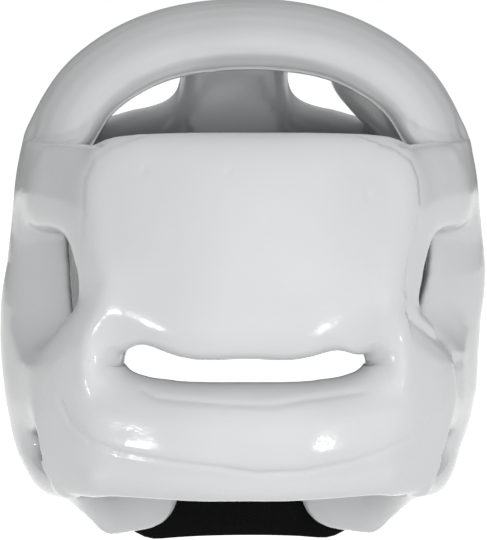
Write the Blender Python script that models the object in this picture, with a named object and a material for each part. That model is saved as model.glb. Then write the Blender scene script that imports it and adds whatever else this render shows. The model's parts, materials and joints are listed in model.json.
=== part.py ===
"""Open-face dipped-foam sparring headgear: a one-piece foam shell and its chin strap.

Metres, +Z up, +Y out of the face opening, +X to the wearer's right.
The origin is the underside of the crown, where the top of the head seats.
"""

import math
from collections import namedtuple

import bmesh
import bpy
from mathutils import Vector
from mathutils.bvhtree import BVHTree

# Foam shell, overall
SHELL_WIDTH = 0.228
REAR_REACH = 0.122
FRONT_REACH = 0.124
CHIN_DROP = 0.245
DOME_DROP = 0.086
PLAN_EXPONENT = 2.3
WALL_THICKNESS = 0.025
CROWN_THICKNESS = 0.022
EDGE_ROUNDING = 0.16

# Crown arch, front bridge and the openings around them
ARCH_REAR = 0.058
ARCH_FRONT = 0.024
ARCH_FOOT_FRONT = 0.076
ARCH_INSET = 0.003
ARCH_REAR_LIP = 0.007
BRIDGE_WIDTH = 0.058
REAR_PANEL_DROP = 0.038
LEDGE_DROP = 0.044
FOREHEAD_DROP = 0.034
FOREHEAD_RISE = 0.013

# Raised back panel and the roll of foam under the nape slit
PANEL_RAISE = 0.004
PANEL_WIDTH = 0.148
PANEL_WAIST_WIDTH = 0.134
ROLL_RAISE = 0.003
ROLL_CREASE_DROP = 0.190
NAPE_DROP = 0.209

# Nape slit, wider and taller at its mouth than where it comes through
SLIT_DROP = 0.138
SLIT_HEIGHT = 0.025
SLIT_CORNER_RISE = 0.009
SLIT_MOUTH_WIDTH = 0.138
SLIT_INNER_WIDTH = 0.134
SLIT_INNER_HEIGHT = 0.018

# Side windows and hearing holes
WINDOW_REAR = 0.093
WINDOW_LENGTH = 0.060
WINDOW_FUNNEL = 0.022
WINDOW_DROP = 0.085
WINDOW_HEIGHT = 0.053
HEARING_HOLE_REAR = 0.066
HEARING_HOLE_LENGTH = 0.028
HEARING_HOLE_DROP = 0.184
HEARING_HOLE_HEIGHT = 0.017

# Ear pads, face opening and jaw flaps
EAR_PAD_RAISE = 0.005
EAR_PAD_FRONT = 0.058
CHEEK_FRONT = 0.080
BROW_DROP = 0.086
FACE_WIDTH = 0.160
FLAP_TOP_DROP = 0.206
FLAP_GAP = 0.068
FLAP_END_SWELL = 0.0075
EAR_HEM_DROP = 0.215

# Chin strap
STRAP_HEIGHT = 0.050
STRAP_THICKNESS = 0.0025
STRAP_BELOW_JAW = 0.015
STRAP_DROP = CHIN_DROP + STRAP_BELOW_JAW
STRAP_REACH = 0.062
STRAP_END_RISE = 0.014
PATCH_LENGTH = 0.026
PATCH_HEIGHT = 0.026
PATCH_THICKNESS = 0.0016
SEAT_GAP = 0.0010
LAP_GAP = 0.0004

Section = namedtuple("Section", "drop width rear front wall")
# Shares: drop of CHIN_DROP, width of half SHELL_WIDTH, rear and front of their
# reaches, wall of WALL_THICKNESS.
SECTIONS = (
    Section(drop=0.350, width=1.000, rear=1.000, front=1.000, wall=1.00),
    Section(drop=0.432, width=1.004, rear=1.004, front=1.000, wall=1.00),
    Section(drop=0.554, width=0.992, rear=1.000, front=0.990, wall=1.00),
    Section(drop=0.676, width=0.985, rear=0.980, front=0.975, wall=1.00),
    Section(drop=0.737, width=0.982, rear=0.965, front=0.960, wall=0.98),
    Section(drop=0.810, width=0.956, rear=0.930, front=0.940, wall=0.94),
    Section(drop=0.879, width=0.900, rear=0.870, front=0.920, wall=0.88),
    Section(drop=0.961, width=0.850, rear=0.780, front=0.895, wall=0.80),
    Section(drop=1.100, width=0.740, rear=0.600, front=0.840, wall=0.75),
)

HALF_WIDTH = SHELL_WIDTH / 2
DOME_HEIGHT = DOME_DROP + CROWN_THICKNESS
POWER = 2 / PLAN_EXPONENT


def section(drop):
    """The shell's (half width, rear reach, front reach, wall) at a drop below the origin."""
    share = drop / CHIN_DROP
    rows = SECTIONS
    if share <= rows[0].drop:
        low, high, mix = rows[0], rows[0], 0.0
    else:
        k = 0
        while k < len(rows) - 2 and share > rows[k + 1].drop:
            k += 1
        low, high = rows[k], rows[k + 1]
        mix = min(1.0, (share - low.drop) / (high.drop - low.drop))
    blend = [a + (b - a) * mix for a, b in zip(low[1:], high[1:])]
    return (HALF_WIDTH * blend[0], REAR_REACH * blend[1], FRONT_REACH * blend[2], WALL_THICKNESS * blend[3])


def fullness(drop):
    """How much of the plan is left at a drop: 1 below the dome, 0 at the very top."""
    up = max(0.0, (DOME_DROP - drop) / DOME_HEIGHT)
    return max(0.0, 1 - up ** PLAN_EXPONENT) ** (1 / PLAN_EXPONENT)


def level_set(x, y, z):
    """Grows outwards through the shell's base form; its gradient gives the normals."""
    wide, rear, front, _ = section(-z)
    reach = rear if y < 0 else front
    up = max(0.0, (DOME_DROP + z) / DOME_HEIGHT)
    total = (abs(x) / wide) ** PLAN_EXPONENT + (abs(y) / reach) ** PLAN_EXPONENT + up ** PLAN_EXPONENT
    return total ** (1 / PLAN_EXPONENT)


def outward(point):
    """Unit normal of the base form at a point on it."""
    step = 0.0008
    x, y, z = point
    slope = Vector(
        (
            level_set(x + step, y, z) - level_set(x - step, y, z),
            level_set(x, y + step, z) - level_set(x, y - step, z),
            level_set(x, y, z + step) - level_set(x, y, z - step),
        )
    )
    return slope.normalized()


def ring_point(angle, drop):
    """Point on the base form: angle 0 at the back, 90 at the side, 180 at the front."""
    wide, rear, front, _ = section(drop)
    full = fullness(drop)
    across = math.sin(math.radians(angle))
    along = math.cos(math.radians(angle))
    reach = rear if along > 0 else front
    y = -math.copysign(abs(along) ** POWER, along) * reach * full
    return Vector((abs(across) ** POWER * wide * full, y, -drop))


def angle_at_x(x, drop, front=False):
    """Angle of the point on the back, or on the front, that far from the middle."""
    share = min(0.995, x / (section(drop)[0] * fullness(drop)))
    angle = math.degrees(math.asin(share ** (1 / POWER)))
    return 180 - angle if front else angle


def angle_at_y(y, drop):
    """Angle of the point on the side that far forward of the origin."""
    _, rear, front, _ = section(drop)
    reach = (rear if y < 0 else front) * fullness(drop)
    share = min(0.995, abs(y) / reach)
    return 90 + math.copysign(math.degrees(math.asin(share ** (1 / POWER))), y)


def crown_point(y, turn):
    """Point on the dome above a line across the head: turn 0 at its foot, 90 over the middle."""
    reach = REAR_REACH if y < 0 else FRONT_REACH
    left = (1 - (abs(y) / reach) ** PLAN_EXPONENT) ** (1 / PLAN_EXPONENT)
    across = max(0.0, math.cos(math.radians(turn))) ** POWER
    up = math.sin(math.radians(turn)) ** POWER
    return Vector((HALF_WIDTH * left * across, y, DOME_HEIGHT * left * up - DOME_DROP))


def foot_turn(y, drop):
    """The turn at which the line across the head at y comes down to that drop."""
    reach = REAR_REACH if y < 0 else FRONT_REACH
    left = (1 - (abs(y) / reach) ** PLAN_EXPONENT) ** (1 / PLAN_EXPONENT)
    share = min(0.999, (DOME_DROP - drop) / DOME_HEIGHT / left)
    return math.degrees(math.asin(share ** (1 / POWER)))


class Cage:
    """Control cage of the shell's outer and inner skins, for the wearer's right half."""

    def __init__(self):
        self.outer = {}
        self.inner = {}
        self.cells = []

    def put(self, key, point, lift=0.0, wall=None, inner=None):
        """Adds a cage point on the outer skin and the one that it faces on the inner skin."""
        normal = outward(point)
        thick = wall or section(-point.z)[3]
        self.outer[key] = (point, normal, lift)
        base = inner or point
        self.inner[key] = (base, outward(base), -thick)

    def cell(self, *keys):
        """Adds a face of the outer skin, corners anticlockwise seen from outside."""
        self.cells.append(keys)

    def rims(self):
        """Directed edges of the skin with a face on one side only, off the mirror plane."""
        once = set()
        for keys in self.cells:
            for a, b in zip(keys, keys[1:] + keys[:1]):
                once.add((a, b))
        flat = {k for k, (p, _, _) in self.outer.items() if abs(p.x) < 1e-6}
        return [(a, b) for a, b in once if (b, a) not in once and not (a in flat and b in flat)]

    def mesh(self, name):
        """The closed cage of both halves, pulled in at its rims so that they come out round."""
        rims = sorted(self.rims(), key=str)
        edge_keys = {k for pair in rims for k in pair}
        data = bmesh.new()
        made = {}
        for skin, points in (("outer", self.outer), ("inner", self.inner)):
            for key, (point, normal, lift) in points.items():
                thick = (self.outer[key][0] - self.inner[key][0]).length - self.inner[key][2]
                pull = EDGE_ROUNDING * min(thick, WALL_THICKNESS) if key in edge_keys else 0.0
                depth = lift + (pull if skin == "inner" else -pull)
                place = point + normal * depth
                for side in (1, -1):
                    if abs(point.x) < 1e-6:
                        if side == 1:
                            made[skin, key, 1] = made[skin, key, -1] = data.verts.new((0.0, place.y, place.z))
                    else:
                        made[skin, key, side] = data.verts.new((place.x * side, place.y, place.z))
        for side in (1, -1):
            for keys in self.cells:
                ring = [made["outer", k, side] for k in keys]
                data.faces.new(ring if side == 1 else ring[::-1])
                ring = [made["inner", k, side] for k in keys]
                data.faces.new(ring[::-1] if side == 1 else ring)
            for a, b in rims:
                ring = [made["outer", b, side], made["outer", a, side]]
                ring += [made["inner", a, side], made["inner", b, side]]
                data.faces.new(ring if side == 1 else ring[::-1])
        fit(data)
        result = bpy.data.meshes.new(name)
        data.to_mesh(result)
        data.free()
        return result


def fit(data, rounds=7):
    """Moves the cage so that its subdivided surface passes close to where its points are."""
    goals = [v.co.copy() for v in data.verts]
    for _ in range(rounds):
        moved = []
        for vert, goal in zip(data.verts, goals):
            n = len(vert.link_edges)
            total = vert.co * (n * n)
            for edge in vert.link_edges:
                total = total + edge.other_vert(vert).co * 4
            for loop in vert.link_loops:
                total = total + loop.link_loop_next.link_loop_next.vert.co
            moved.append(vert.co + (goal - total / (n * (n + 5))) * 0.9)
        for vert, place in zip(data.verts, moved):
            vert.co = place


def foam_cage():
    """Lays out the shell: a belt round the head, the arch over it and the bridge to the brow."""
    cage = Cage()
    mouth = SLIT_MOUTH_WIDTH / 2
    panel = PANEL_WIDTH / 2
    waist = PANEL_WAIST_WIDTH / 2
    face = FACE_WIDTH / 2
    tip = -WINDOW_REAR
    front = tip + WINDOW_LENGTH
    hole = -HEARING_HOLE_REAR
    sill = WINDOW_DROP + WINDOW_HEIGHT
    hem = EAR_HEM_DROP
    slit_low = SLIT_DROP + SLIT_HEIGHT
    roll = ROLL_CREASE_DROP
    hole_low = HEARING_HOLE_DROP + HEARING_HOLE_HEIGHT
    jaw = CHIN_DROP - hem
    middle = (BROW_DROP + FOREHEAD_DROP) / 2

    def back(x, drop, lift=0.0):
        return angle_at_x(x, drop), drop, lift

    def side(y, drop, lift=0.0):
        return angle_at_y(y, drop), drop, lift

    def fore(x, drop, lift=0.0):
        return angle_at_x(x, drop, True), drop, lift

    lift, swell, ear = PANEL_RAISE, ROLL_RAISE, EAR_PAD_RAISE
    top, ledge = REAR_PANEL_DROP, LEDGE_DROP
    upper = (ledge + WINDOW_DROP) / 2
    tall = (SLIT_DROP - top) / 3
    rings = (
        (
            back(0, top, lift), back(mouth * 0.45, top, lift), back(mouth * 0.9, top + 0.002, lift),
            back(panel, ledge, lift * 0.6), back(panel * 1.14, ledge), side(tip * 0.68, ledge),
            side(-ARCH_REAR, ledge), side(0, ledge), side(ARCH_FOOT_FRONT, ledge - 0.004),
            fore(face * 0.88, FOREHEAD_DROP + 0.003),
            fore(face * 0.68, FOREHEAD_DROP - 0.001), fore(BRIDGE_WIDTH / 2, FOREHEAD_DROP - FOREHEAD_RISE * 0.8),
            fore(0, FOREHEAD_DROP - FOREHEAD_RISE),
        ),
        (
            back(0, top + tall * 0.6, lift), back(mouth * 0.45, top + tall * 0.6, lift),
            back(mouth * 0.9, top + tall * 0.6, lift), back(panel * 1.03, upper, lift * 0.9),
            back(panel * 1.16, upper), side(tip * 0.68, upper),
            side(-ARCH_REAR, upper), side(0, upper), side(ARCH_FOOT_FRONT * 0.9, upper),
            side(CHEEK_FRONT + 0.004, middle),
            fore(face * 0.8, middle), fore(face * 0.4, middle - 0.003), fore(0, middle - 0.004),
        ),
        (
            back(0, top + tall * 1.4, lift), back(mouth * 0.45, top + tall * 1.4, lift),
            back(mouth * 0.9, top + tall * 1.4, lift), back(panel * 1.0, WINDOW_DROP - 0.004, lift * 0.9),
            side(tip * 0.9, WINDOW_DROP), side((tip * 0.8 + front) / 2, WINDOW_DROP),
            side(front, WINDOW_DROP), side(0, WINDOW_DROP), side(EAR_PAD_FRONT, WINDOW_DROP),
            side(CHEEK_FRONT, BROW_DROP),
            fore(face, BROW_DROP), fore(face * 0.45, BROW_DROP - 0.003), fore(0, BROW_DROP - 0.004),
        ),
        (
            back(0, SLIT_DROP - tall * 0.8, lift), back(mouth * 0.45, SLIT_DROP - tall * 0.8, lift),
            back(mouth * 0.85, SLIT_DROP - tall * 0.9, lift),
            back(waist, WINDOW_DROP + WINDOW_HEIGHT * 0.52, lift * 0.8),
            side(tip, WINDOW_DROP + WINDOW_HEIGHT * 0.56),
            None,
            side(front - 0.001, WINDOW_DROP + WINDOW_HEIGHT * 0.5),
            side(0, WINDOW_DROP + WINDOW_HEIGHT * 0.5, ear * 0.6),
            side(EAR_PAD_FRONT, WINDOW_DROP + WINDOW_HEIGHT * 0.5, ear * 0.6),
            side(CHEEK_FRONT, WINDOW_DROP + WINDOW_HEIGHT * 0.5),
            fore(face, WINDOW_DROP + WINDOW_HEIGHT * 0.55), None, None,
        ),
        (
            back(0, SLIT_DROP, lift * 0.8), back(mouth * 0.45, SLIT_DROP, lift * 0.8),
            back(mouth * 0.9, SLIT_DROP - SLIT_CORNER_RISE, lift * 0.7),
            back(panel, SLIT_DROP - SLIT_CORNER_RISE, lift * 0.6),
            side(tip * 0.9, sill - 0.010), side(tip * 0.76, sill),
            side(front - 0.008, sill - 0.005), side(0, sill, ear), side(EAR_PAD_FRONT, sill, ear),
            side(CHEEK_FRONT, sill, ear * 0.4),
            fore(face, sill), None, None,
        ),
        (
            back(0, slit_low, swell), back(mouth * 0.45, slit_low - 0.001, swell),
            back(mouth * 0.97, slit_low - 0.009, swell), back(panel, slit_low - 0.014, swell),
            side(tip * 0.86, slit_low - 0.008, swell * 0.5), side(tip * 0.66, slit_low - 0.006),
            side(front - 0.006, slit_low - 0.006), side(0, slit_low - 0.006, ear * 0.8),
            side(EAR_PAD_FRONT, slit_low - 0.006, ear * 0.6),
            side(CHEEK_FRONT, slit_low - 0.006), fore(face, slit_low - 0.004), None, None,
        ),
        (
            back(0, roll - 0.003, swell * 0.7), back(mouth * 0.45, roll - 0.004, swell * 0.7),
            back(mouth * 0.97, roll - 0.009, swell * 0.5), back(panel * 1.02, roll - 0.012),
            side(tip * 0.74, HEARING_HOLE_DROP), side(hole, HEARING_HOLE_DROP),
            side(hole + HEARING_HOLE_LENGTH, HEARING_HOLE_DROP),
            side(0.004, HEARING_HOLE_DROP, ear * 0.2), side(EAR_PAD_FRONT - 0.006, HEARING_HOLE_DROP + 0.002),
            side(CHEEK_FRONT - 0.002, HEARING_HOLE_DROP + 0.004),
            fore(face, HEARING_HOLE_DROP + 0.004), None, None,
        ),
        (
            back(0, roll + 0.003), back(mouth * 0.45, roll + 0.003), back(mouth * 0.95, roll + 0.003),
            back(panel, roll + 0.004), side(tip * 0.70, hole_low - 0.002), side(hole, hole_low),
            side(hole + HEARING_HOLE_LENGTH, hole_low), side(0.002, hole_low - 0.002),
            side(EAR_PAD_FRONT - 0.010, hole_low + 0.002), side(CHEEK_FRONT - 0.008, hole_low + 0.004),
            fore(face * 0.9, FLAP_TOP_DROP - 0.004), fore(FLAP_GAP / 2 + FLAP_END_SWELL, FLAP_TOP_DROP + 0.003), None,
        ),
        (
            back(0, NAPE_DROP), back(mouth * 0.45, NAPE_DROP), back(mouth * 0.95, NAPE_DROP),
            back(panel, NAPE_DROP + 0.002), side(tip * 0.67, NAPE_DROP * 0.5 + hem * 0.5), side(hole, hem - 0.001),
            side(hole + HEARING_HOLE_LENGTH, hem + 0.001), side(0, hem + jaw * 0.12),
            side(EAR_PAD_FRONT - 0.014, hem + jaw * 0.36), side(CHEEK_FRONT - 0.012, hem + jaw * 0.72),
            fore(face * 0.88, hem + jaw), fore(FLAP_GAP / 2 + FLAP_END_SWELL, CHIN_DROP), None,
        ),
    )
    inner_slit = SLIT_INNER_WIDTH / 2 / mouth
    low = SLIT_DROP - 0.001
    funnel = math.degrees(WINDOW_FUNNEL / HALF_WIDTH)
    for row, ring in enumerate(rings):
        for column, place in enumerate(ring):
            if place is None:
                continue
            angle, drop, raised = place
            inner = None
            if row == 4 and column < 3:
                inner = ring_point(angle * inner_slit, low - (0.006 if column == 2 else 0.0))
            if row == 5 and column < 3:
                inner = ring_point(angle * inner_slit, low + SLIT_INNER_HEIGHT - (0.006 if column == 2 else 0.0))
            if column == 6 and row in (2, 3, 4):
                inner = ring_point(angle - funnel, drop)
            cage.put((column, row), ring_point(angle, drop), raised, inner=inner)
    gone = {(4, 2), (5, 2), (4, 3), (5, 3), (0, 4), (1, 4), (5, 6), (11, 7)}
    gone |= {(c, r) for c in (10, 11) for r in range(2, 7)}
    for row in range(len(rings) - 1):
        for column in range(len(rings[0]) - 1):
            if (column, row) in gone:
                continue
            cage.cell((column, row), (column, row + 1), (column + 1, row + 1), (column + 1, row))
    crown(cage)
    return cage


def crown(cage):
    """Adds the arch from ear to ear and the bridge from its middle to the brow."""
    steps = 5
    lines = ((6, -ARCH_REAR, -ARCH_REAR), (7, 0.0, 0.0), (8, ARCH_FOOT_FRONT, ARCH_FRONT))
    for column, foot, high in lines:
        for k in range(steps + 1):
            share = k / steps
            y = foot + (high - foot) * min(1.0, share * 1.25) ** 2.3
            start = foot_turn(y, LEDGE_DROP - 0.004)
            turn = start + (90 - start) * share
            wall = WALL_THICKNESS + (CROWN_THICKNESS - WALL_THICKNESS) * share
            point = crown_point(y, turn)
            if k == steps:
                point.x = 0.0
            inset = ARCH_INSET * (1 - share) if column == 6 else 0.0
            wall += ARCH_REAR_LIP * (0.6 + 0.6 * share) if column == 6 else 0.0
            cage.put((column, "arch", k), point, -inset, wall)
    for a, b in ((6, 7), (7, 8)):
        cage.cell((a, "arch", 0), (a, 0), (b, 0), (b, "arch", 0))
        for k in range(steps):
            cage.cell((a, "arch", k + 1), (a, "arch", k), (b, "arch", k), (b, "arch", k + 1))
    half = BRIDGE_WIDTH / 2
    shoulder = 4
    for k, y in enumerate((ARCH_FRONT + 0.022, FRONT_REACH * 0.56)):
        left = 1 - (y / FRONT_REACH) ** PLAN_EXPONENT
        for column, x in ((11, half * 0.92), (12, 0.0)):
            up = (left - (x / HALF_WIDTH) ** PLAN_EXPONENT) ** (1 / PLAN_EXPONENT)
            point = Vector((x, y, DOME_HEIGHT * up - DOME_DROP))
            cage.put((column, "bridge", k), point, 0.0, CROWN_THICKNESS)
    chain = [((8, "arch", shoulder), (8, "arch", 5))]
    chain += [((11, "bridge", k), (12, "bridge", k)) for k in range(2)]
    chain.append(((11, 0), (12, 0)))
    for (a, b), (c, d) in zip(chain, chain[1:]):
        cage.cell(a, c, d, b)


def material(name, colour, roughness):
    """A Principled material of one colour."""
    made = bpy.data.materials.new(name)
    made.use_nodes = True
    shader = made.node_tree.nodes["Principled BSDF"]
    shader.inputs["Base Color"].default_value = (*colour, 1.0)
    shader.inputs["Roughness"].default_value = roughness
    return made


def foam_shell():
    """The one-piece shell, smooth from its cage."""
    shell = bpy.data.objects.new("foam_shell", foam_cage().mesh("foam_shell"))
    bpy.context.scene.collection.objects.link(shell)
    smooth = shell.modifiers.new("smooth", "SUBSURF")
    smooth.levels = 2
    smooth.render_levels = 2
    fewer = shell.modifiers.new("fewer", "DECIMATE")
    fewer.ratio = 0.68
    shell.data.materials.append(material("white_dipped_foam", (0.72, 0.72, 0.73), 0.3))
    return shell


def band(name, stations, colour, roughness):
    """A strip of webbing: each station gives its inner line from top to bottom and its thickness."""
    data = bmesh.new()
    loops = []
    for line, thick in stations:
        near = [data.verts.new(place) for place, _ in line]
        far = [data.verts.new(place + normal * thick) for place, normal in line]
        loops.append(near + far[::-1])
    for a, b in zip(loops, loops[1:]):
        for k in range(len(a)):
            m = (k + 1) % len(a)
            data.faces.new((a[k], a[m], b[m], b[k]))
    half = len(loops[0]) // 2
    for loop, turned in ((loops[0], False), (loops[-1], True)):
        for k in range(half - 1):
            corners = (loop[k], loop[-1 - k], loop[-2 - k], loop[k + 1])
            data.faces.new(corners[::-1] if turned else corners)
    bmesh.ops.recalc_face_normals(data, faces=list(data.faces))
    mesh = bpy.data.meshes.new(name)
    data.to_mesh(mesh)
    data.free()
    made = bpy.data.objects.new(name, mesh)
    bpy.context.scene.collection.objects.link(made)
    made.data.materials.append(material(name + "_webbing", colour, roughness))
    return made


def jaw_line(x, drops, clearance):
    """Points over the outside of the jaw flaps at x, with their normals."""
    line = []
    for drop in drops:
        angle = angle_at_x(abs(x), drop, True)
        point = ring_point(angle, drop)
        normal = outward(point)
        if x < 0:
            point.x = -point.x
            normal.x = -normal.x
        line.append((point + normal * clearance, normal))
    return line


def slack(skin, x, drops):
    """How far the line over the jaw at x can move in before it meets the foam, or None off the flaps."""
    reach = 0.012
    found = []
    for point, normal in jaw_line(x, drops, reach):
        place, _, _, distance = skin.ray_cast(point, -normal, reach + 0.02)
        if place is not None:
            found.append(distance - reach)
    return min(found) if found else None


def seated(skin, xs, lines):
    """The slack of every station, bridged over the gap between the flaps and kept clear of both."""
    raw = [slack(skin, x, drops) for x, drops in zip(xs, lines)]
    known = [k for k, value in enumerate(raw) if value is not None]
    filled = []
    for k, value in enumerate(raw):
        if value is None:
            before = max([j for j in known if j < k], default=known[0])
            after = min([j for j in known if j > k], default=known[-1])
            mix = (k - before) / (after - before) if after > before else 0.0
            value = raw[before] + (raw[after] - raw[before]) * mix
        filled.append(value)
    return [min(filled[max(0, k - 1):k + 2]) for k in range(len(filled))]


def chin_strap(skin, patch_out):
    """The wide strap, seated on the right flap and lapped over the patch on the left one."""
    steps, rows = 28, 7
    xs = [STRAP_REACH - 2 * STRAP_REACH * k / steps for k in range(steps + 1)]
    lines = []
    for x in xs:
        corner = max(0.0, (abs(x) - 0.66 * STRAP_REACH) / (0.34 * STRAP_REACH)) ** 2
        low = STRAP_DROP - STRAP_END_RISE * corner
        high = STRAP_DROP - STRAP_HEIGHT + STRAP_END_RISE * 0.3 * corner
        lines.append([high + (low - high) * r / rows for r in range(rows + 1)])
    stations = []
    for x, drops, room in zip(xs, lines, seated(skin, xs, lines)):
        lap = min(1.0, max(0.0, 0.5 - x / FLAP_GAP))
        lap = lap * lap * (3 - 2 * lap)
        out = SEAT_GAP - room
        out += lap * max(0.0, patch_out + PATCH_THICKNESS + LAP_GAP - out)
        stations.append((jaw_line(x, drops, out), STRAP_THICKNESS))
    return band("chin_strap", stations, (0.012, 0.012, 0.013), 0.85)


def strap_patch(skin):
    """The fastening patch on the left jaw flap, under the strap's free end; returns how far out it sits."""
    steps, rows = 6, 5
    middle = (STRAP_REACH + FLAP_GAP / 2 + 0.004) / 2
    centre = (FLAP_TOP_DROP + CHIN_DROP) / 2 - 0.001
    xs = [-middle + PATCH_LENGTH * (0.5 - k / steps) for k in range(steps + 1)]
    lines = [[centre + PATCH_HEIGHT * (r / rows - 0.5) for r in range(rows + 1)] for _ in xs]
    out = SEAT_GAP - min(seated(skin, xs, lines))
    stations = [(jaw_line(x, drops, out), PATCH_THICKNESS) for x, drops in zip(xs, lines)]
    band("strap_patch", stations, (0.02, 0.02, 0.022), 0.9)
    return out


for item in list(bpy.data.objects):
    bpy.data.objects.remove(item)
shell = foam_shell()
bpy.context.view_layer.update()
foam_skin = BVHTree.FromObject(shell, bpy.context.evaluated_depsgraph_get())
chin_strap(foam_skin, strap_patch(foam_skin))
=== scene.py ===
"""Dresses the foam headgear: a glossy white dipped shell, its woven chin strap, floor, lights and camera."""

from __future__ import annotations

import json
import logging
import math
from dataclasses import dataclass, field
from enum import Enum
from typing import Any

import bmesh
import bpy
import numpy as np
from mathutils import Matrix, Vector
from mathutils.bvhtree import BVHTree

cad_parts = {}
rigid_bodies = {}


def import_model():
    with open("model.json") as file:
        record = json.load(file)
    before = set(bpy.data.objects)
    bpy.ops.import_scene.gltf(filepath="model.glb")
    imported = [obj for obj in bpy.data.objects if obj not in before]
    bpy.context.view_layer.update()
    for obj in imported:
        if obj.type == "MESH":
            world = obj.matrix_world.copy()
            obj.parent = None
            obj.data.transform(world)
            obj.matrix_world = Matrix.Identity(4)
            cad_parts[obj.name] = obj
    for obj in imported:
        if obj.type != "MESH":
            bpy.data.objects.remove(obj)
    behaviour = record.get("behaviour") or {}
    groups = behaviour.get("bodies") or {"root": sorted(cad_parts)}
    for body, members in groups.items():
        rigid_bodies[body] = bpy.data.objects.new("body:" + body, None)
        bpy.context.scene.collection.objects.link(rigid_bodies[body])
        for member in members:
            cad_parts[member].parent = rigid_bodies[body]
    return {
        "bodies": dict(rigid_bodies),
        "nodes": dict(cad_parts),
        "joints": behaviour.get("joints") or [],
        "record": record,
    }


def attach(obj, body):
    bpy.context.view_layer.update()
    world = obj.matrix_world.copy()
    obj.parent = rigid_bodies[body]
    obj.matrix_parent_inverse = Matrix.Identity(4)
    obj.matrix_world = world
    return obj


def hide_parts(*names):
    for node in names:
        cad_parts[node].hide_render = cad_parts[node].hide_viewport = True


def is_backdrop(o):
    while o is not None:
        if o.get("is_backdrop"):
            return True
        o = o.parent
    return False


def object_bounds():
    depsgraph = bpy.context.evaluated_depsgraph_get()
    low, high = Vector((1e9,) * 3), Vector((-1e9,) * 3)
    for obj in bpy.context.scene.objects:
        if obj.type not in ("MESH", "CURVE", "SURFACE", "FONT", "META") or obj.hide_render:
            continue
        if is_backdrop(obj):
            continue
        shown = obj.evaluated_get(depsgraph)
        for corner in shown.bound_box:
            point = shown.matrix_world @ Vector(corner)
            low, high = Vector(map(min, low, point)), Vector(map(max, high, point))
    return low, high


logging.basicConfig(level=logging.INFO, format="%(message)s")
LOG = logging.getLogger("headgear")

MM = 0.001
PHOTO_WIDTH = 487
PHOTO_HEIGHT = 540


class Side(Enum):
    """Which side of the wearer a thing is on, as the sign of its X."""

    RIGHT = 1
    LEFT = -1


def srgb(code: str) -> tuple[float, float, float, float]:
    """Turns a colour into the linear values that a shader takes.

    Args:
        code: an sRGB colour as six hex digits.

    Returns:
        Linear red, green and blue, with full alpha.
    """
    parts = [int(code[k:k + 2], 16) / 255 for k in (0, 2, 4)]
    linear = [c / 12.92 if c <= 0.04045 else ((c + 0.055) / 1.055) ** 2.4 for c in parts]
    return (linear[0], linear[1], linear[2], 1.0)


def node(
    tree: bpy.types.NodeTree, kind: str, settings: dict[str, Any] | None = None, **links: Any
) -> bpy.types.Node:
    """Adds one node to a tree.

    Args:
        tree: the node tree.
        kind: the node's type name.
        settings: attributes of the node; a key that names an input sets that input.
        links: input name, with underscores for spaces, or i and its number, to the socket or value that it takes.

    Returns:
        The new node.
    """
    made = tree.nodes.new(kind)
    for name, value in (settings or {}).items():
        if name in made.inputs:
            made.inputs[name].default_value = value
        else:
            setattr(made, name, value)
    for name, value in links.items():
        numbered = name[0] == "i" and name[1:].isdigit()
        socket = made.inputs[int(name[1:]) if numbered else name.replace("_", " ")]
        if isinstance(value, bpy.types.NodeSocket):
            tree.links.new(value, socket)
        else:
            socket.default_value = value
    return made


@dataclass(frozen=True)
class Finish:
    """A finish: what it is made of, its colour and the numbers its shader starts from."""

    name: str
    colour: str
    roughness: float
    ior: float = 1.5
    sheen: float = 0.0
    specular: float = 0.5

    def start(self) -> tuple[bpy.types.Material, bpy.types.NodeTree, bpy.types.Node]:
        """Makes the material with its constant sockets set.

        Returns:
            The material, its node tree and its shader.
        """
        made = bpy.data.materials.new(self.name)
        made.use_nodes = True
        tree = made.node_tree
        shader = tree.nodes["Principled BSDF"]
        shader.inputs["Base Color"].default_value = srgb(self.colour)
        shader.inputs["Roughness"].default_value = self.roughness
        shader.inputs["IOR"].default_value = self.ior
        shader.inputs["Sheen Weight"].default_value = self.sheen
        shader.inputs["Specular IOR Level"].default_value = self.specular
        return made, tree, shader


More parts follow.
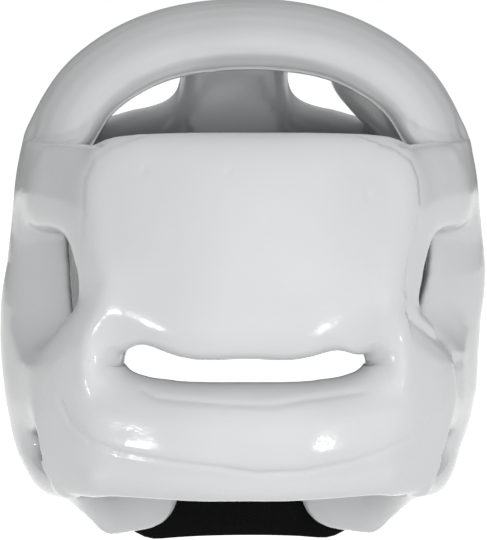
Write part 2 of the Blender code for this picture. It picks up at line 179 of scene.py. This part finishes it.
class DippedVinyl(Finish):
    """White vinyl plastisol dipped over foam: glossy, with a faint orange peel and rare pinholes."""

    # The dip leaves cloudy patches a little greyer than the rest and grit in the pinholes; painted shade, a darker
    # grey, is laid deep in the hollow and in the hearing holes.
    cloudy: str = "D6D7D8"
    pinhole: str = "8E8E90"
    painted_inside_shade: str = "7E7F81"

    def build(self) -> bpy.types.Material:
        """Makes the material; its patterns have real sizes in metres on Object coordinates.

        Returns:
            The material.
        """
        made, tree, shader = self.start()
        place = node(tree, "ShaderNodeTexCoord").outputs["Object"]
        cloud = node(tree, "ShaderNodeTexNoise", {"Scale": 1 / (60 * MM), "Detail": 1.0}, Vector=place)
        tint = node(tree, "ShaderNodeValToRGB", Fac=cloud.outputs["Fac"])
        tint.color_ramp.interpolation = "EASE"
        tint.color_ramp.elements[0].position = 0.2
        tint.color_ramp.elements[0].color = srgb(self.cloudy)
        tint.color_ramp.elements[1].position = 0.8
        tint.color_ramp.elements[1].color = srgb(self.colour)
        specks = node(tree, "ShaderNodeTexVoronoi", {"Scale": 1 / (26 * MM), "Randomness": 1.0}, Vector=place)
        hole = node(
            tree, "ShaderNodeMapRange",
            {"From Min": 0.012, "From Max": 0.026, "To Min": 1.0, "To Max": 0.0},
            Value=specks.outputs["Distance"],
        )
        dark = node(tree, "ShaderNodeMix", {"data_type": "RGBA"})
        tree.links.new(hole.outputs["Result"], dark.inputs[0])
        tree.links.new(tint.outputs["Color"], dark.inputs[6])
        dark.inputs[7].default_value = srgb(self.pinhole)
        # Painted shade: deep in the hollow and in the hearing holes the colour is mixed towards a darker grey.
        inside = node(tree, "ShaderNodeAttribute", {"attribute_name": "painted_shade_depth"})
        inside_shade_mix = node(tree, "ShaderNodeMix", {"data_type": "RGBA"})
        tree.links.new(inside.outputs["Fac"], inside_shade_mix.inputs[0])
        tree.links.new(dark.outputs[2], inside_shade_mix.inputs[6])
        inside_shade_mix.inputs[7].default_value = srgb(self.painted_inside_shade)
        tree.links.new(inside_shade_mix.outputs[2], shader.inputs["Base Color"])
        smear = node(tree, "ShaderNodeTexNoise", {"Scale": 1 / (20 * MM), "Detail": 1.0}, Vector=place)
        gloss = node(
            tree, "ShaderNodeMapRange",
            {"From Min": 0.2, "From Max": 0.8, "To Min": self.roughness - 0.03, "To Max": self.roughness + 0.04},
            Value=smear.outputs["Fac"],
        )
        tree.links.new(gloss.outputs["Result"], shader.inputs["Roughness"])
        peel = node(tree, "ShaderNodeTexNoise", {"Scale": 1 / (2.2 * MM), "Detail": 2.0}, Vector=place)
        wave = node(tree, "ShaderNodeTexNoise", {"Scale": 1 / (9 * MM), "Detail": 1.0}, Vector=place)
        soft = node(tree, "ShaderNodeBump", {"Strength": 0.45, "Distance": 0.3 * MM}, Height=wave.outputs["Fac"])
        fine = node(
            tree, "ShaderNodeBump", {"Strength": 0.6, "Distance": 0.12 * MM},
            Height=peel.outputs["Fac"], Normal=soft.outputs["Normal"],
        )
        pit = node(
            tree, "ShaderNodeBump", {"Strength": 0.6, "Distance": 0.3 * MM, "invert": True},
            Height=hole.outputs["Result"], Normal=fine.outputs["Normal"],
        )
        tree.links.new(pit.outputs["Normal"], shader.inputs["Normal"])
        return made


class Webbing(Finish):
    """Black polyester webbing: a tight herringbone weave with a matt, faintly fuzzy face."""

    valley: str = "040404"
    crest: str = "0E0E0F"

    def build(self) -> bpy.types.Material:
        """Makes the material; the weave follows the strap's own UV map, which is in metres.

        Returns:
            The material.
        """
        made, tree, shader = self.start()
        flat = node(tree, "ShaderNodeTexCoord").outputs["UV"]
        split = node(tree, "ShaderNodeSeparateXYZ", Vector=flat)
        rib = node(tree, "ShaderNodeMath", {"operation": "PINGPONG"}, i0=split.outputs["Y"], i1=5 * MM)
        lean = node(tree, "ShaderNodeMath", {"operation": "ADD"}, i0=split.outputs["X"], i1=rib.outputs["Value"])
        # A real twill line is 0.6 mm; it is drawn at 1.6 mm so that it shows.
        turn = node(
            tree, "ShaderNodeMath", {"operation": "MULTIPLY"}, i0=lean.outputs["Value"], i1=math.tau / (1.6 * MM)
        )
        twill = node(tree, "ShaderNodeMath", {"operation": "SINE"}, i0=turn.outputs["Value"])
        height = node(
            tree, "ShaderNodeMapRange", {"From Min": -1.0, "From Max": 1.0, "To Min": 0.0, "To Max": 1.0},
            Value=twill.outputs["Value"],
        )
        fuzz = node(tree, "ShaderNodeTexNoise", {"Scale": 1 / (0.9 * MM), "Detail": 3.0}, Vector=flat)
        mix = node(tree, "ShaderNodeMix", {"data_type": "RGBA"})
        tree.links.new(height.outputs["Result"], mix.inputs[0])
        mix.inputs[6].default_value = srgb(self.valley)
        mix.inputs[7].default_value = srgb(self.crest)
        tree.links.new(mix.outputs[2], shader.inputs["Base Color"])
        weave = node(tree, "ShaderNodeBump", {"Strength": 0.7, "Distance": 0.35 * MM}, Height=height.outputs["Result"])
        nap = node(
            tree, "ShaderNodeBump", {"Strength": 0.3, "Distance": 0.15 * MM},
            Height=fuzz.outputs["Fac"], Normal=weave.outputs["Normal"],
        )
        tree.links.new(nap.outputs["Normal"], shader.inputs["Normal"])
        return made


class HookTape(Finish):
    """Black hook tape: a stubble of stiff nylon hooks in rows."""

    def build(self) -> bpy.types.Material:
        """Makes the material; hooks stand 1.2 mm apart on Object coordinates.

        Returns:
            The material.
        """
        made, tree, shader = self.start()
        place = node(tree, "ShaderNodeTexCoord").outputs["Object"]
        hooks = node(tree, "ShaderNodeTexVoronoi", {"Scale": 1 / (1.2 * MM), "Randomness": 0.35}, Vector=place)
        lift = node(
            tree, "ShaderNodeBump", {"Strength": 0.9, "Distance": 0.5 * MM, "invert": True},
            Height=hooks.outputs["Distance"],
        )
        tree.links.new(lift.outputs["Normal"], shader.inputs["Normal"])
        return made


class Thread(Finish):
    """Bonded black sewing thread: twisted, with a slight shine."""

    def build(self) -> bpy.types.Material:
        """Makes the material, with a twist that runs slantwise round the thread.

        Returns:
            The material.
        """
        made, tree, shader = self.start()
        place = node(tree, "ShaderNodeTexCoord").outputs["Object"]
        twist = node(tree, "ShaderNodeTexWave", {"Scale": 1 / (6 * MM), "bands_direction": "DIAGONAL"}, Vector=place)
        lift = node(tree, "ShaderNodeBump", {"Strength": 0.5, "Distance": 0.2 * MM}, Height=twist.outputs["Fac"])
        tree.links.new(lift.outputs["Normal"], shader.inputs["Normal"])
        return made


def deselect() -> None:
    """Leaves nothing selected."""
    for item in bpy.context.view_layer.objects:
        item.select_set(False)


def activate(piece: bpy.types.Object) -> None:
    """Selects one object alone and makes it active."""
    deselect()
    piece.select_set(True)
    bpy.context.view_layer.objects.active = piece


def copy_of(source: bpy.types.Object, name: str) -> bpy.types.Object:
    """Copies a CAD node's solid into a piece of its own, with its points merged.

    Args:
        source: the CAD node.
        name: the new piece's name.

    Returns:
        The new piece, at the origin, with no material.
    """
    data = bmesh.new()
    data.from_mesh(source.data)
    bmesh.ops.remove_doubles(data, verts=list(data.verts), dist=1e-6)
    mesh = bpy.data.meshes.new(name)
    data.to_mesh(mesh)
    data.free()
    made = bpy.data.objects.new(name, mesh)
    bpy.context.scene.collection.objects.link(made)
    return made


def apply_modifier(piece: bpy.types.Object, kind: str, **settings: Any) -> None:
    """Adds a modifier with its settings and applies it.

    Args:
        piece: the object that it changes.
        kind: the modifier's type name.
        settings: attributes of the modifier.
    """
    activate(piece)
    bpy.ops.object.modifier_add(type=kind)
    made = piece.modifiers[-1]
    for name, value in settings.items():
        setattr(made, name, value)
    bpy.ops.object.modifier_apply(modifier=made.name)


def points_of(mesh: bpy.types.Mesh) -> np.ndarray:
    """The mesh's points as rows of X, Y and Z."""
    flat = np.empty(len(mesh.vertices) * 3)
    mesh.vertices.foreach_get("co", flat)
    return flat.reshape(-1, 3)


def normals_of(mesh: bpy.types.Mesh) -> np.ndarray:
    """The mesh's point normals as rows of X, Y and Z."""
    flat = np.empty(len(mesh.vertices) * 3)
    mesh.vertices.foreach_get("normal", flat)
    return flat.reshape(-1, 3)


def store(mesh: bpy.types.Mesh, points: np.ndarray) -> None:
    """Writes moved points back to the mesh."""
    mesh.vertices.foreach_set("co", points.reshape(-1))
    mesh.update()


def bell(value: np.ndarray, middle: float, spread: float) -> np.ndarray:
    """A smooth bump, 1 at its middle.

    Args:
        value: where to read it.
        middle: where it is highest.
        spread: how far from the middle it has fallen to about a third.

    Returns:
        The bump's height at each value.
    """
    return np.exp(-(((value - middle) / spread) ** 2))


def ramp(value: np.ndarray, low: float, high: float) -> np.ndarray:
    """Smooth step between two levels.

    Args:
        value: where to read it.
        low: where it is 0.
        high: where it is 1.

    Returns:
        The step's height at each value.
    """
    share = np.clip((value - low) / (high - low), 0.0, 1.0)
    return share * share * (3 - 2 * share)


def along(value: np.ndarray, table: tuple[tuple[float, float], ...]) -> np.ndarray:
    """Reads a table of pairs, between its rows in straight lines.

    Args:
        value: where to read it.
        table: rows of (place, reading), in rising order.

    Returns:
        The reading at each value.
    """
    rows = np.array(table)
    return np.interp(value, rows[:, 0], rows[:, 1])


def to_line(
    across: np.ndarray, up: np.ndarray, line: tuple[tuple[float, float], ...]
) -> tuple[np.ndarray, np.ndarray]:
    """Distance of flat points from a bent line.

    Args:
        across: first coordinate of each point.
        up: second coordinate of each point.
        line: the line's corners.

    Returns:
        The distance, and the signed distance, positive to the left of the line's direction.
    """
    best = np.full(len(across), 1e9)
    signed = np.full(len(across), 1e9)
    for (ax, az), (bx, bz) in zip(line, line[1:]):
        dx, dz = bx - ax, bz - az
        length = dx * dx + dz * dz
        share = np.clip(((across - ax) * dx + (up - az) * dz) / length, 0.0, 1.0)
        ox, oz = across - ax - share * dx, up - az - share * dz
        far = np.hypot(ox, oz)
        nearer = far < best
        best = np.where(nearer, far, best)
        signed = np.where(nearer, np.sign(dx * oz - dz * ox) * far, signed)
    return best, signed


# Lines on the back of the shell, each a row of (across, drop) in millimetres.
BIB_RIGHT = (
    (58.0, 43.5), (65.0, 46.0), (73.0, 52.0), (76.0, 60.0), (77.0, 72.0), (74.5, 84.0), (71.0, 96.0), (69.5, 109.0),
    (71.0, 118.0),
)
BIB_LEFT = ((-57.0, 42.5), (-64.0, 45.0), (-72.0, 51.0), (-76.0, 60.0), (-77.0, 84.0))
ROLL_CREASE = (
    (-89.0, 162.0), (-84.0, 172.0), (-74.5, 180.0), (-61.0, 184.4), (-38.0, 187.6), (-15.0, 189.9),
    (1.4, 193.1), (23.0, 192.6), (45.7, 189.0), (61.0, 184.4), (74.5, 179.4), (86.0, 171.0),
)
RIM_FOLD = ((70.0, 118.0), (76.0, 125.6), (85.5, 134.0), (94.9, 142.0), (99.0, 148.0), (100.5, 160.0), (100.5, 172.0))
NAPE_WRINKLE = ((-50.0, 155.6), (-44.0, 158.8), (-8.0, 161.1), (8.0, 161.6), (23.0, 159.3), (50.0, 157.0))
# How far each side stands off true: rows of (drop, shift across) in millimetres.
LEFT_LEAN = ((105.0, 0.0), (125.0, -2.0), (140.0, -2.6), (169.0, -3.6), (198.0, -3.2), (213.0, -1.4), (235.0, -0.5))
RIGHT_LEAN = (
    (108.0, 0.0), (120.0, -1.2), (134.0, -2.9), (150.0, -3.2), (166.0, -1.9), (182.0, -2.4), (196.0, -4.2),
    (212.0, -3.5), (235.0, -1.0),
)
# Small dents in the dip, each (across, drop) in millimetres.
NICKS = ((-49.0, 54.2), (-11.0, 54.6), (6.0, 78.0), (-103.0, 86.0), (-14.0, 163.5), (52.0, 66.0))


@dataclass
class Skin:
    """The points of a fine mesh, ready to be pushed about as a sculptor would."""

    mesh: bpy.types.Mesh

    def __post_init__(self) -> None:
        """Reads the points and the edges that smoothing runs along."""
        self.points = points_of(self.mesh)
        pairs = np.empty(len(self.mesh.edges) * 2, dtype=np.int64)
        self.mesh.edges.foreach_get("vertices", pairs)
        self.pairs = pairs.reshape(-1, 2)
        self.counts = np.bincount(self.pairs.reshape(-1), minlength=len(self.points))

    def relaxed(self, values: np.ndarray, rounds: int) -> np.ndarray:
        """Averages each point's values with its neighbours'.

        Args:
            values: one row per point.
            rounds: how many times.

        Returns:
            The averaged rows.
        """
        a, b = self.pairs[:, 0], self.pairs[:, 1]
        for _ in range(rounds):
            columns = []
            for k in range(values.shape[1]):
                column = values[:, k]
                total = np.bincount(a, column[b], len(column)) + np.bincount(b, column[a], len(column))
                columns.append(0.5 * column + 0.5 * total / self.counts)
            values = np.stack(columns, axis=1)
        return values

    def crisp(self, rounds: int, gain: float) -> None:
        """Tightens the rims: what a further smoothing would take off is put back on, times the gain."""
        self.points = self.points + gain * (self.points - self.relaxed(self.points, rounds))

    def normals(self) -> np.ndarray:
        """The point normals of the mesh as it now stands."""
        store(self.mesh, self.points)
        return normals_of(self.mesh)


@dataclass
class FoamShell:
    """The one-piece dipped foam shell, worked up from its solid as a carver would.

    Rounds are counts of smoothing; depths and steps are in millimetres, and so is every place in the methods.
    """

    voxel: float = 1.5 * MM
    smoothing: int = 26
    rim_gain: float = 1.1
    bib_step: float = 1.4
    crease_depth: float = 1.0
    fold_depth: float = 1.2
    wrinkle_depth: float = 0.8
    ledge_step: float = 2.2
    nick_depth: float = 0.5
    softening: int = 160
    window_wall_back: float = 8.0
    window_wall_in: float = 7.0
    bridge_lean: float = 3.8
    jaw_drop: float = 8.0
    lip_drop_right: float = 7.0
    lip_drop_left: float = 5.0
    crown_corner_in: float = 9.0
    drain_wave: float = 0.12
    finish: DippedVinyl = field(default_factory=lambda: DippedVinyl("white_vinyl_plastisol", "DCDDDE", 0.17, 1.52))

    def build(self, frame: dict[str, Any]) -> bpy.types.Object:
        """Makes the shell and puts it in the CAD node's place.

        Args:
            frame: the loaded frame.

        Returns:
            The shell.
        """
        piece = copy_of(frame["nodes"]["foam_shell"], "foam_shell_dipped")
        apply_modifier(piece, "REMESH", mode="VOXEL", voxel_size=self.voxel, use_smooth_shade=True)
        skin = Skin(piece.data)
        skin.points = skin.relaxed(skin.points, self.smoothing)
        self.soften_sides(skin)
        skin.crisp(14, self.rim_gain)
        self.close_windows(skin)
        self.lean(skin)
        self.press_lines(skin)
        self.unevenness(skin)
        self.mark_inside(skin)
        piece.data.shade_smooth()
        piece.data.materials.append(self.finish.build())
        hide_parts("foam_shell")
        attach(piece, "root")
        LOG.info("foam shell: %d points", len(piece.data.vertices))
        return piece

    def outside(self, skin: Skin) -> tuple[np.ndarray, np.ndarray]:
        """Finds the outer face at the back.

        Args:
            skin: the shell's points.

        Returns:
            How far each point belongs to that face, from 0 to 1, and the normals.
        """
        normals = skin.normals()
        x, y = skin.points[:, 0], skin.points[:, 1]
        reach = np.hypot(x, y) + 1e-9
        facing = (normals[:, 0] * x + normals[:, 1] * y) / reach
        return ramp(facing, 0.25, 0.6) * ramp(-y, 10 * MM, 30 * MM), normals

    def lean(self, skin: Skin) -> None:
        """Sets the hand-made lopsidedness: how each side, the crown bridge and the jaw stand off true."""
        points = skin.points
        x, y, z = points[:, 0] / MM, points[:, 1] / MM, points[:, 2] / MM
        right = ramp(x, -60.0, 60.0)
        side = right * along(-z, RIGHT_LEAN) + (1 - right) * along(-z, LEFT_LEAN)
        bridge = ramp(y, 15.0, 60.0) * ramp(z, -70.0, -35.0)
        points[:, 0] = (x + side - self.bridge_lean * bridge) * MM
        jaw = bell(np.abs(x), 76.0, 15.0) * ramp(y, -30.0, 20.0) * ramp(-z, 185.0, 215.0)
        ends = self.lip_drop_right * bell(x, 53.0, 9.0) + self.lip_drop_left * bell(x, -57.0, 7.0)
        lip = ramp(-z, 124.0, 134.0) * (1 - ramp(-z, 141.0, 147.0)) * ramp(-y, 70.0, 90.0)
        points[:, 2] = (z - self.jaw_drop * jaw - ends * lip) * MM
        corner = bell(x, 64.0, 17.0) * bell(y, 58.0, 26.0) * bell(z, -20.0, 20.0)
        points[:, 0] = points[:, 0] - self.crown_corner_in * corner * MM

    def soften_sides(self, skin: Skin) -> None:
        """Rounds off each window's foot and the side of the hem, and evens the belt without making it thinner."""
        x, y, drop = (skin.points[:, 0] / MM, skin.points[:, 1] / MM, -skin.points[:, 2] / MM)
        wide = np.abs(x)
        foot = bell(y, -36.0, 24.0) * bell(drop, 146.0, 15.0) * ramp(wide, 84.0, 94.0)
        belt = ramp(drop, 46.0, 60.0) * (1 - ramp(drop, 78.0, 90.0)) * ramp(wide, 66.0, 80.0) * ramp(-y, 0.0, 20.0)
        hem = bell(wide, 74.0, 15.0) * ramp(drop, 150.0, 165.0) * (1 - ramp(drop, 190.0, 199.0)) * ramp(-y, 30.0, 55.0)
        calm = skin.relaxed(skin.points, self.softening)
        skin.points = skin.points + (calm - skin.points) * np.maximum(foot, 0.9 * hem)[:, None]
        level = 2 * calm - skin.relaxed(calm, self.softening)
        skin.points = skin.points + (level - skin.points) * belt[:, None]

    def close_windows(self, skin: Skin) -> None:
        """Carries each window's front wall on behind the rear edge, so that less shows through from behind."""
        normals = skin.normals()
        x, y, drop = (skin.points[:, 0] / MM, skin.points[:, 1] / MM, -skin.points[:, 2] / MM)
        wall = bell(y, -58.0, 11.0) * ramp(drop, 82.0, 92.0) * (1 - ramp(drop, 132.0, 142.0))
        wall *= ramp(np.abs(x), 62.0, 74.0) * ramp(-normals[:, 1], -0.35, 0.3)
        wall = skin.relaxed(wall[:, None], 12)[:, 0]
        skin.points[:, 1] = skin.points[:, 1] - self.window_wall_back * wall * MM
        skin.points[:, 0] = skin.points[:, 0] - self.window_wall_in * np.sign(x) * wall * MM

    def mark_inside(self, skin: Skin) -> None:
        """Stores how deep in the hollow or a hearing hole each point lies, where the material paints shade in a darker
        grey.
        """
        normals = skin.normals()
        x, y, drop = (skin.points[:, 0] / MM, skin.points[:, 1] / MM, -skin.points[:, 2] / MM)
        facing = (normals[:, 0] * x + normals[:, 1] * y) / (np.hypot(x, y) + 1e-9)
        hollow = ramp(-facing, 0.1, 0.6) * ramp(drop, 24.0, 52.0) * (1 - ramp(drop, 190.0, 212.0))
        hole = ramp(-y, 35.0, 42.0) * (1 - ramp(-y, 62.0, 69.0)) * ramp(np.abs(x), 70.0, 80.0)
        hole *= ramp(drop, 179.0, 186.0) * (1 - ramp(drop, 199.0, 205.0)) * (1 - ramp(facing, 0.45, 0.85))
        # This mark drives the painted shade in the vinyl material.
        mark = skin.mesh.attributes.new("painted_shade_depth", "FLOAT", "POINT")
        mark.data.foreach_set("value", skin.relaxed(np.maximum(hollow, hole)[:, None], 4)[:, 0])

    def press_lines(self, skin: Skin) -> None:
        """Presses the creases, folds and steps of the moulding into the outer face."""
        mask, normals = self.outside(skin)
        across, drop = skin.points[:, 0] / MM, -skin.points[:, 2] / MM
        push = np.zeros(len(across))
        for line, strength, flip in ((BIB_RIGHT, 1.0, 1.0), (BIB_LEFT, 0.45, -1.0)):
            far, signed = to_line(across, drop, line)
            fade = 1 - ramp(far, 5.0, 16.0)
            step = ramp(signed * flip, -1.3, 1.3) - 0.5
            push += strength * self.bib_step * step * fade - 0.3 * strength * bell(far, 0.0, 1.3)
        roll = (1 - ramp(np.abs(across), 62.0, 84.0)) * mask
        push += roll * bell(drop, 165.0, 6.5)
        far, signed = to_line(across, drop, ROLL_CREASE)
        along_x = 1 - 0.35 * ramp(across, 10.0, 50.0)
        push -= self.crease_depth * along_x * bell(far, 0.0, 1.4)
        push += 0.5 * along_x * (ramp(-signed, -1.0, 1.5) - 0.5) * (1 - ramp(far, 3.0, 12.0))
        far, signed = to_line(across, drop, RIM_FOLD)
        push -= self.fold_depth * bell(far, 0.0, 1.5) * ramp(drop, 116.0, 122.0) * (1 - ramp(drop, 160.0, 172.0))
        push += (ramp(-signed, -1.0, 1.5) - 0.5) * (1 - ramp(far, 2.0, 9.0)) * (1 - ramp(drop, 150.0, 168.0))
        far, _ = to_line(across, drop, NAPE_WRINKLE)
        push -= self.wrinkle_depth * bell(far, 0.0, 1.2)
        foot = ramp(np.abs(across), 66.0, 74.0)
        push -= self.ledge_step * foot * (1 - ramp(drop, 43.8, 45.6)) * ramp(drop, 30.0, 42.0)
        push += 0.5 * foot * ramp(drop, 43.8, 45.6) * (1 - ramp(drop, 47.0, 54.0))
        for nick_x, nick_drop in NICKS:
            push -= self.nick_depth * bell(across, nick_x, 1.3) * bell(drop, nick_drop, 1.6)
        skin.points = skin.points + normals * (push * mask * MM)[:, None]

    def unevenness(self, skin: Skin) -> None:
        """Adds the slow waves that the dip leaves as it drains."""
        normals = skin.normals()
        x, y, z = (skin.points[:, k] / MM for k in range(3))
        wave = np.sin(x / 17.0 + 1.3 * np.sin(z / 29.0)) * np.sin(z / 21.0 + 1.1 * np.sin(y / 31.0))
        wave += 0.5 * np.sin(x / 7.3 + z / 9.1) * np.sin(y / 8.7 - z / 12.3)
        skin.points = skin.points + normals * (self.drain_wave * wave * MM)[:, None]


@dataclass
class ChinStrap:
    """The wide webbing strap, its stitching and the hook patch that it fastens to."""

    webbing: Webbing = field(
        default_factory=lambda: Webbing("black_polyester_webbing", "070708", 0.85, sheen=0.03, specular=0.12)
    )
    tape: HookTape = field(default_factory=lambda: HookTape("black_nylon_hook_tape", "101012", 0.7))
    box_near: float = 0.040
    box_wide: float = 0.056
    box_top: float = 0.217
    box_foot: float = 0.240
    stitch_pitch: float = 2.6 * MM
    thread_radius: float = 0.32 * MM
    bend_radius: float = 0.12
    thread: Thread = field(default_factory=lambda: Thread("black_bonded_thread", "151517", 0.5))

    def build(self, frame: dict[str, Any]) -> None:
        """Makes the strap, its stitching and the patch.

        Args:
            frame: the loaded frame.
        """
        strap = copy_of(frame["nodes"]["chin_strap"], "chin_strap_webbing")
        apply_modifier(strap, "BEVEL", width=0.5 * MM, segments=2, limit_method="ANGLE", angle_limit=math.radians(50))
        self.lay_flat(strap)
        activate(strap)
        bpy.ops.object.shade_smooth_by_angle(angle=math.radians(40))
        strap.data.materials.append(self.webbing.build())
        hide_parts("chin_strap")
        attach(strap, "root")
        LOG.info("chin strap: %d points", len(strap.data.vertices))
        self.stitching(strap)
        patch = copy_of(frame["nodes"]["strap_patch"], "strap_patch_hooks")
        apply_modifier(patch, "BEVEL", width=0.4 * MM, segments=2, limit_method="ANGLE", angle_limit=math.radians(50))
        activate(patch)
        bpy.ops.object.shade_smooth_by_angle(angle=math.radians(40))
        patch.data.materials.append(self.tape.build())
        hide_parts("strap_patch")
        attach(patch, "root")
        LOG.info("strap patch: %d points", len(patch.data.vertices))

    def stitching(self, strap: bpy.types.Object) -> None:
        """Sews a crossed box of stitches on the outer face at each end of the strap.

        Args:
            strap: the finished webbing.
        """
        tree = BVHTree.FromObject(strap, bpy.context.evaluated_depsgraph_get())
        rows = []
        for side in Side:
            near, far = self.box_near * side.value, self.box_wide * side.value
            box = ((near, self.box_top), (far, self.box_top), (far, self.box_foot), (near, self.box_foot))
            rows += list(zip(box, box[1:] + box[:1])) + [(box[0], box[2]), (box[1], box[3])]
        data = bmesh.new()
        for (ax, ad), (bx, bd) in rows:
            count = max(2, round(math.hypot(bx - ax, bd - ad) / self.stitch_pitch))
            for k in range(count):
                x, drop = (ax + (bx - ax) * (k + 0.5) / count, ad + (bd - ad) * (k + 0.5) / count)
                place, normal, _, _ = tree.ray_cast(Vector((x, 0.25, -drop)), Vector((0.0, -1.0, 0.0)))
                if place is None:
                    continue
                run = Vector((bx - ax, 0.0, ad - bd)).normalized()
                run = (run - normal * run.dot(normal)).normalized()
                self.stitch(data, place, normal, run)
        mesh = bpy.data.meshes.new("strap_stitching")
        data.to_mesh(mesh)
        data.free()
        made = bpy.data.objects.new("strap_stitching", mesh)
        bpy.context.scene.collection.objects.link(made)
        mesh.shade_smooth()
        mesh.materials.append(self.thread.build())
        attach(made, "root")
        LOG.info("strap stitching: %d points", len(mesh.vertices))

    def stitch(self, data: bmesh.types.BMesh, place: Vector, normal: Vector, run: Vector) -> None:
        """Lays one stitch, a short bowed thread whose ends dive into the webbing.

        Args:
            data: the mesh that it joins.
            place: its middle on the webbing.
            normal: the webbing's outward direction there.
            run: the direction of the seam.
        """
        across = normal.cross(run)
        rings = []
        for step in range(5):
            share = step / 2 - 1
            rise = 0.25 * MM * (1 - 1.8 * share * share)
            middle = place + run * (share * self.stitch_pitch * 0.42) + normal * rise
            ring = []
            for turn in range(6):
                angle = math.tau * turn / 6
                spoke = across * math.cos(angle) + normal * math.sin(angle)
                ring.append(data.verts.new(middle + spoke * self.thread_radius))
            rings.append(ring)
        for a, b in zip(rings, rings[1:]):
            for k in range(6):
                data.faces.new((a[k], a[(k + 1) % 6], b[(k + 1) % 6], b[k]))
        data.faces.new(rings[0][::-1])
        data.faces.new(rings[-1])

    def lay_flat(self, strap: bpy.types.Object) -> None:
        """Gives the strap a UV map in metres: along its length and across its height."""
        mesh = strap.data
        layer = mesh.uv_layers.new(name="webbing")
        for loop in mesh.loops:
            place = mesh.vertices[loop.vertex_index].co
            turn = math.atan2(place.x, place.y)
            layer.data[loop.index].uv = (turn * self.bend_radius, place.z)


class Studio:
    """Floor, soft lights and the camera at the photograph's place."""

    DISTANCE = 1.5
    LIFT = math.radians(5.0)
    TURN = math.radians(-1.5)
    TARGET = Vector((-0.0012, 0.0, -0.110))
    FOCAL_PIXELS = 3061
    FLOOR_GAP = 0.45

    def build(self, low: float) -> None:
        """Sets the stage.

        Args:
            low: the object's lowest point.
        """
        self.floor(low - self.FLOOR_GAP)
        self.lights()
        self.camera()
        scene = bpy.context.scene
        scene.view_settings.view_transform = "Standard"
        LOG.info("studio: set")

    def floor(self, level: float) -> None:
        """Lays a pale floor under the object, with a white surround behind it that gives no light."""
        deselect()
        bpy.ops.mesh.primitive_plane_add(size=24.0, location=(0.0, 0.0, level))
        floor = bpy.context.active_object
        floor.name = "floor"
        made, _, shader = Finish("white_paper_floor", "F4F4F4", 0.9).start()
        shader.inputs["Emission Color"].default_value = (1.0, 1.0, 1.0, 1.0)
        shader.inputs["Emission Strength"].default_value = 0.72
        floor.visible_diffuse = False
        floor.data.materials.append(made)
        floor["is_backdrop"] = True
        deselect()
        bpy.ops.mesh.primitive_uv_sphere_add(segments=48, ring_count=24, radius=11.0, location=(0.0, 0.0, level))
        surround = bpy.context.active_object
        surround.name = "surround"
        made, _, shader = Finish("white_surround", "000000", 1.0).start()
        shader.inputs["Emission Color"].default_value = (1.0, 1.0, 1.0, 1.0)
        shader.inputs["Emission Strength"].default_value = 1.0
        surround.data.materials.append(made)
        surround.visible_diffuse = False
        surround.visible_glossy = False
        surround.visible_shadow = False
        surround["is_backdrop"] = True

    def lights(self) -> None:
        """Sets an even fill, a wide soft box over the camera, one overhead and two small bright heads."""
        world = bpy.data.worlds.new("studio_fill")
        bpy.context.scene.world = world
        world.use_nodes = True
        back = world.node_tree.nodes["Background"]
        back.inputs["Color"].default_value = (1.0, 1.0, 1.0, 1.0)
        way = node(world.node_tree, "ShaderNodeTexCoord").outputs["Generated"]
        depth = node(world.node_tree, "ShaderNodeSeparateXYZ", Vector=way)
        fade = node(
            world.node_tree, "ShaderNodeMapRange",
            {"From Min": -1.0, "From Max": 1.0, "To Min": 0.66, "To Max": 0.18}, Value=depth.outputs["Y"],
        )
        world.node_tree.links.new(fade.outputs["Result"], back.inputs["Strength"])
        self.soft_box("front_box", (0.6, -2.4, 0.35), 1.8, 21.5, False)
        self.soft_box("over_box", (0.2, -0.3, 1.6), 1.4, 2.5, False)
        self.soft_box("far_box", (-0.3, 1.9, 1.3), 1.4, 20.0, False)
        self.soft_box("left_head", (-0.62, -0.60, -0.50), 0.05, 0.75, True)
        self.soft_box("right_head", (0.50, -0.68, -0.52), 0.05, 0.75, True)

    def soft_box(
        self, name: str, place: tuple[float, float, float], size: float, power: float, shines: bool
    ) -> None:
        """Adds a square area light that faces the object.

        Args:
            name: the light's name.
            place: where it hangs.
            size: its side in metres.
            power: its power in watts.
            shines: whether gloss mirrors it; a scrimmed box leaves no shape in the gloss.
        """
        data = bpy.data.lights.new(name, "AREA")
        data.size = size
        data.energy = power
        made = bpy.data.objects.new(name, data)
        made.location = place
        made.visible_glossy = shines
        made.rotation_euler = (self.TARGET - Vector(place)).to_track_quat("-Z", "Y").to_euler()
        bpy.context.scene.collection.objects.link(made)

    def camera(self) -> None:
        """Places the camera behind the wearer, a little above the level."""
        data = bpy.data.cameras.new("photo_camera")
        data.sensor_width = 36.0
        data.lens = self.FOCAL_PIXELS / PHOTO_HEIGHT * data.sensor_width
        data.clip_end = 100.0
        made = bpy.data.objects.new("photo_camera", data)
        look = Vector(
            (
                -math.sin(self.TURN) * math.cos(self.LIFT),
                math.cos(self.TURN) * math.cos(self.LIFT),
                -math.sin(self.LIFT),
            )
        )
        made.location = self.TARGET - look * self.DISTANCE
        made.rotation_euler = look.to_track_quat("-Z", "Y").to_euler()
        bpy.context.scene.collection.objects.link(made)
        bpy.context.scene.camera = made


def main() -> None:
    """Loads the frame, builds every class in order and notes the sizes."""
    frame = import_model()
    cad_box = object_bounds()
    studio = Studio()
    studio.build(float(cad_box[0][2]))
    FoamShell().build(frame)
    ChinStrap().build(frame)


if __name__ == "__main__":
    main()
